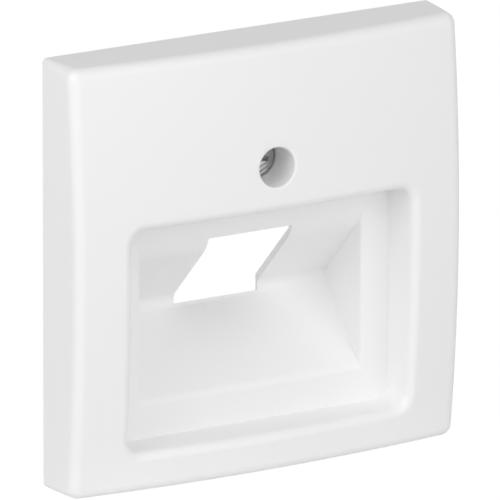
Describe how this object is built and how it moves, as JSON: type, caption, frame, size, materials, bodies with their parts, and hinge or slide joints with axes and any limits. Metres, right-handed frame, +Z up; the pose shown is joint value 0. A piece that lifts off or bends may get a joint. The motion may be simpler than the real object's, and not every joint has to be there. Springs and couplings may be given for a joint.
{
  "type": "wall outlet centre plate",
  "caption": "Crowned square wall plate for a data outlet, with a stepped recess, a V-shaped pocket with a slanted jack opening, and a sunk captive fixing screw.",
  "frame": {"origin": "centre of the plate's rear rim, the plane that lies against the carrier on the wall", "axes": "+X to the right and +Z up as the plate hangs on the wall, +Y into the wall, so the crowned front faces -Y"},
  "size_m": [0.063, 0.0197, 0.063],
  "materials": {
    "plate_plastic": "injection-moulded white thermoplastic, satin",
    "screw_steel": "bright zinc plate"
  },
  "bodies": {
    "plate": {"centre_plate": "plate_plastic"},
    "screw": {"fixing_screw": "screw_steel"}
  },
  "joints": [
    {"name": "screw_turn", "type": "hinge", "parent": "plate", "child": "screw", "pos_m": [0, 0, 0.01395], "axis": [0, 1, 0], "continuous": true}
  ]
}
